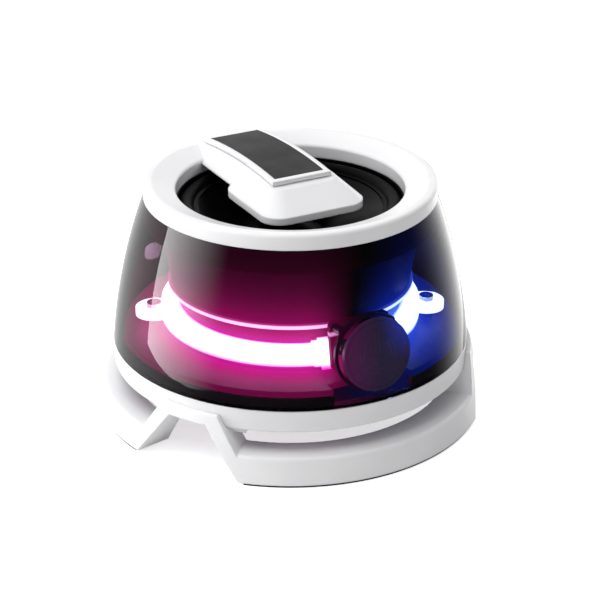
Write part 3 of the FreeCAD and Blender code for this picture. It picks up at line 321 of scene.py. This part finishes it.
# one finish for each material slot: two colours, roughness, grain in waves per metre and its depth in metres,
# radius of a rounded edge in metres, share of dust and smudges; rings and turns are pitches in metres, glow is
# how far the guides' light reaches in metres, and set goes straight on the shader's own sockets
finishes = {
    "white_plastic": {"colour": (0.84, 0.84, 0.85, 1), "tone": (0.8, 0.8, 0.815, 1), "rough": 0.24,
                      "grain": 900, "depth": 1e-06, "edge": 0.0006, "smudge": 0.02,
                      "set": {"Specular IOR Level": 0.32, "IOR": 1.5}},
    "smoke_plastic": {"colour": (0.3, 0.26, 0.3, 1), "tone": (0.27, 0.23, 0.27, 1), "rough": 0.0,
                      "grain": 60, "depth": 1e-08, "smudge": 0.0,
                      "set": {"Transmission Weight": 1.0, "IOR": 1.42}},
    "black_plastic": {"colour": (0.02, 0.017, 0.02, 1), "tone": (0.014, 0.012, 0.014, 1), "rough": 0.42,
                      "grain": 1400, "depth": 3e-06, "edge": 0.0004, "glow": 0.0075,
                      "set": {"Specular IOR Level": 0.12}},
    "dark_plastic": {"colour": (0.016, 0.011, 0.02, 1), "tone": (0.01, 0.007, 0.014, 1), "rough": 0.24,
                     "grain": 1600, "depth": 3e-06, "edge": 0.0004, "paintedSoak": True},
    "inlay_leather": {"colour": (0.03, 0.03, 0.032, 1), "tone": (0.016, 0.016, 0.017, 1), "rough": 0.6,
                      "grain": 2600, "depth": 9e-05, "smudge": 0.03, "set": {"Specular IOR Level": 0.3}},
    "rubber": {"colour": (0.0016, 0.0016, 0.0018, 1), "tone": (0.001, 0.001, 0.0012, 1), "rough": 0.42,
               "grain": 2400, "depth": 5e-06, "smudge": 0.02, "set": {"Specular IOR Level": 0.05}},
    "cone_black": {"colour": (0.0012, 0.0012, 0.0014, 1), "tone": (0.0008, 0.0008, 0.001, 1),
                   "rough": 0.3, "grain": 1800, "depth": 2e-06, "smudge": 0.02, "rings": 0.00045,
                   "set": {"Specular IOR Level": 0.05}},
    "guide_left": {"colour": (0.9, 0.85, 0.9, 1), "tone": (0.85, 0.8, 0.85, 1), "rough": 0.4,
                   "grain": 900, "depth": 3e-06, "light": "left"},
    "guide_right": {"colour": (0.85, 0.85, 0.9, 1), "tone": (0.8, 0.8, 0.85, 1), "rough": 0.4,
                    "grain": 900, "depth": 3e-06, "light": "right"},
    "led_left": {"colour": (0.9, 0.5, 0.8, 1), "tone": (0.8, 0.4, 0.7, 1), "rough": 0.3, "grain": 2500,
                 "depth": 3e-06, "light": "left"},
    "led_right": {"colour": (0.4, 0.5, 0.9, 1), "tone": (0.3, 0.4, 0.8, 1), "rough": 0.3, "grain": 2500,
                  "depth": 3e-06, "light": "right"},
    "board": {"colour": (0.01, 0.014, 0.013, 1), "tone": (0.006, 0.009, 0.009, 1), "rough": 0.34,
              "grain": 1800, "depth": 4e-06, "traces": True, "glow": 0.0065,
              "set": {"Specular IOR Level": 0.1}},
    "chip": {"colour": (0.018, 0.018, 0.02, 1), "tone": (0.012, 0.012, 0.013, 1), "rough": 0.48,
             "grain": 3500, "depth": 6e-06, "edge": 0.0003, "dust": 0.2},
    "steel": {"colour": (0.6, 0.6, 0.62, 1), "tone": (0.5, 0.5, 0.53, 1), "rough": 0.32, "grain": 1500,
              "depth": 4e-06, "edge": 0.0003, "dust": 0.1, "metal": 1.0},
    "dark_steel": {"colour": (0.2, 0.2, 0.22, 1), "tone": (0.14, 0.14, 0.16, 1), "rough": 0.36,
                   "grain": 1500, "depth": 5e-06, "edge": 0.0003, "dust": 0.1, "metal": 1.0},
    "ferrite": {"colour": (0.045, 0.045, 0.048, 1), "tone": (0.03, 0.03, 0.033, 1), "rough": 0.62,
                "grain": 1200, "depth": 2e-05, "edge": 0.0004, "dust": 0.3},
    "copper": {"colour": (0.72, 0.3, 0.12, 1), "tone": (0.6, 0.22, 0.08, 1), "rough": 0.3, "grain": 1500,
               "depth": 4e-06, "metal": 1.0, "turns": 0.0003},
    "foil": {"colour": (0.62, 0.63, 0.66, 1), "tone": (0.5, 0.51, 0.55, 1), "rough": 0.34, "grain": 260,
             "depth": 8e-05, "edge": 0.0003, "dust": 0.1, "metal": 1.0},
    "screw_steel": {"colour": (0.42, 0.42, 0.45, 1), "tone": (0.3, 0.3, 0.33, 1), "rough": 0.3,
                    "grain": 2500, "depth": 4e-06, "edge": 0.0002, "metal": 1.0, "glow": 0.004},
}

# the guides' own light: strength, spill on the parts around, the bright core's bounds in height, in degrees
# from the guide's end and in distance from the axis, and the colours of the skin and the core
lamp = {"strength": 9.0, "spill": 2.6, "coreLevel": (0.0238, 0.0254), "coreEnd": (0.2, 1.6),
        "coreRadius": (0.0280, 0.0294), "patches": 120.0, "patchRamp": (0.2, 0.8, 0.8, 1.0),
        "left": (0.5, 0.02, 0.3, 1), "leftCore": (1.0, 0.72, 0.95, 1),
        "right": (0.0, 0.03, 0.5, 1), "rightCore": (0.5, 0.72, 1.0, 1)}


def guideLight(tree, where, side):
    level, radius, angle = polarParts(tree, where)
    turn = 1.0 if side == "right" else -1.0
    fromEnd = calc(tree, "MULTIPLY", calc(tree, "SUBTRACT", angle, glow[side][0]), turn)
    core = calc(tree, "MULTIPLY", ramp(tree, level, *lamp["coreLevel"]),
                ramp(tree, fromEnd, *lamp["coreEnd"]))
    core = calc(tree, "MULTIPLY", core, ramp(tree, radius, *lamp["coreRadius"]))
    patchy = ramp(tree, noise(tree, where, lamp["patches"], softDetail), *lamp["patchRamp"])
    return mixColour(tree, calc(tree, "MULTIPLY", core, patchy), lamp[side], lamp[side + "Core"])


# painted light soaked into the smoky button, given as emission: purple at its left, blue at its upper right
soak = {"blueAngle": (0.0, 14.0), "blueLevel": (0.027, 0.038), "purpleAngle": (3.0, -12.0),
        "plain": (0.008, 0.006, 0.022, 1), "purple": (0.045, 0.003, 0.036, 1),
        "blue": (0.012, 0.03, 0.34, 1)}


def soakedLight(tree, where):
    level, _, angle = polarParts(tree, where)
    share = calc(tree, "MULTIPLY", ramp(tree, angle, *soak["blueAngle"]),
                 ramp(tree, level, *soak["blueLevel"]))
    left = mixColour(tree, ramp(tree, angle, *soak["purpleAngle"]), soak["plain"], soak["purple"])
    return mixColour(tree, share, left, soak["blue"])


# copper tracks under the boards' lacquer
traces = {"scale": 260, "gap": 0.06, "patches": 150.0, "from": 0.45, "to": 0.5,
          "colour": (0.03, 0.045, 0.04, 1)}
dustColour = (0.55, 0.53, 0.50, 1)
waveShare = 0.5
usualSmudge = 0.06


def edgeColour(colour):
    return tuple(min(1.0, part * edgeWearAndHighlight["lighter"] + edgeWearAndHighlight["lift"]) for part in colour[:3]) + (1,)


def makeFinish(slot, kind):
    material = bpy.data.materials.new(slot)
    material.use_nodes = True
    tree = material.node_tree
    shader = tree.nodes["Principled BSDF"].inputs
    where = tree.nodes.new("ShaderNodeTexCoord").outputs["Object"]
    grain = useGroup(tree, effects["grain"], Vector=where, Scale=kind["grain"])
    touch = useGroup(tree, effects["handling"], Vector=where)
    colour = mixColour(tree, grain["Tone"], kind["colour"], kind["tone"])
    height = grain["Height"]
    if "rings" in kind or "turns" in kind:
        level, radius, _ = polarParts(tree, where)
        run, pitch = (radius, kind["rings"]) if "rings" in kind else (level, kind["turns"])
        wave = calc(tree, "SINE", calc(tree, "MULTIPLY", run, 2 * math.pi / pitch))
        height = calc(tree, "MULTIPLY_ADD", wave, waveShare, height)
    if "traces" in kind:
        bricks = tree.nodes.new("ShaderNodeTexBrick")
        feed(tree, where, bricks.inputs["Vector"])
        bricks.inputs["Scale"].default_value = traces["scale"]
        bricks.inputs["Mortar Size"].default_value = traces["gap"]
        patches = ramp(tree, noise(tree, where, traces["patches"]), traces["from"], traces["to"])
        path = calc(tree, "MULTIPLY", bricks.outputs["Fac"], patches)
        colour = mixColour(tree, path, colour, traces["colour"])
    # lightens every rounded edge: partly wear, partly a painted edge highlight
    if "edge" in kind:
        edges = useGroup(tree, effects["edges"], Radius=kind["edge"])
        wearAndHighlight = calc(tree, "MULTIPLY", edges["Edge"], edgeWearAndHighlight["share"])
        colour = mixColour(tree, wearAndHighlight, colour, edgeColour(kind["colour"]))
    if "dust" in kind:
        colour = mixColour(tree, calc(tree, "MULTIPLY", touch["Dust"], kind["dust"]), colour, dustColour)
    rough = calc(tree, "MULTIPLY_ADD", touch["Smudge"], kind.get("smudge", usualSmudge), kind["rough"])
    bump = tree.nodes.new("ShaderNodeBump")
    bump.inputs["Distance"].default_value = kind["depth"]
    feed(tree, height, bump.inputs["Height"])
    if "edge" in kind:
        feed(tree, edges["Normal"], bump.inputs["Normal"])
    feed(tree, colour, shader["Base Color"])
    feed(tree, rough, shader["Roughness"])
    feed(tree, bump.outputs["Normal"], shader["Normal"])
    shader["Metallic"].default_value = kind.get("metal", 0.0)
    if "light" in kind:
        feed(tree, guideLight(tree, where, kind["light"]), shader["Emission Color"])
        shader["Emission Strength"].default_value = lamp["strength"]
    # paints the guides' spill and the bright bowl lip onto this part as emission: painted glow, not a lamp
    if "glow" in kind:
        lit = useGroup(tree, effects["glow"], Vector=where, Reach=kind["glow"])
        feed(tree, lit["Colour"], shader["Emission Color"])
        shader["Emission Strength"].default_value = lamp["spill"]
    # paints the guides' light on the button as emission: painted glow, not a lamp
    if "paintedSoak" in kind:
        feed(tree, soakedLight(tree, where), shader["Emission Color"])
        shader["Emission Strength"].default_value = 1.0
    for name, value in kind.get("set", {}).items():
        shader[name].default_value = value
    return material


def finishNodes():
    materials = {slot: makeFinish(slot, kind) for slot, kind in finishes.items()}
    for thing in nodes.values():
        for holder in thing.material_slots:
            holder.material = materials[holder.material.name.split(".")[0]]
    print("finishes:", len(materials))


for old in list(bpy.data.materials):
    old.name = old.name + ".packed"
finishNodes()
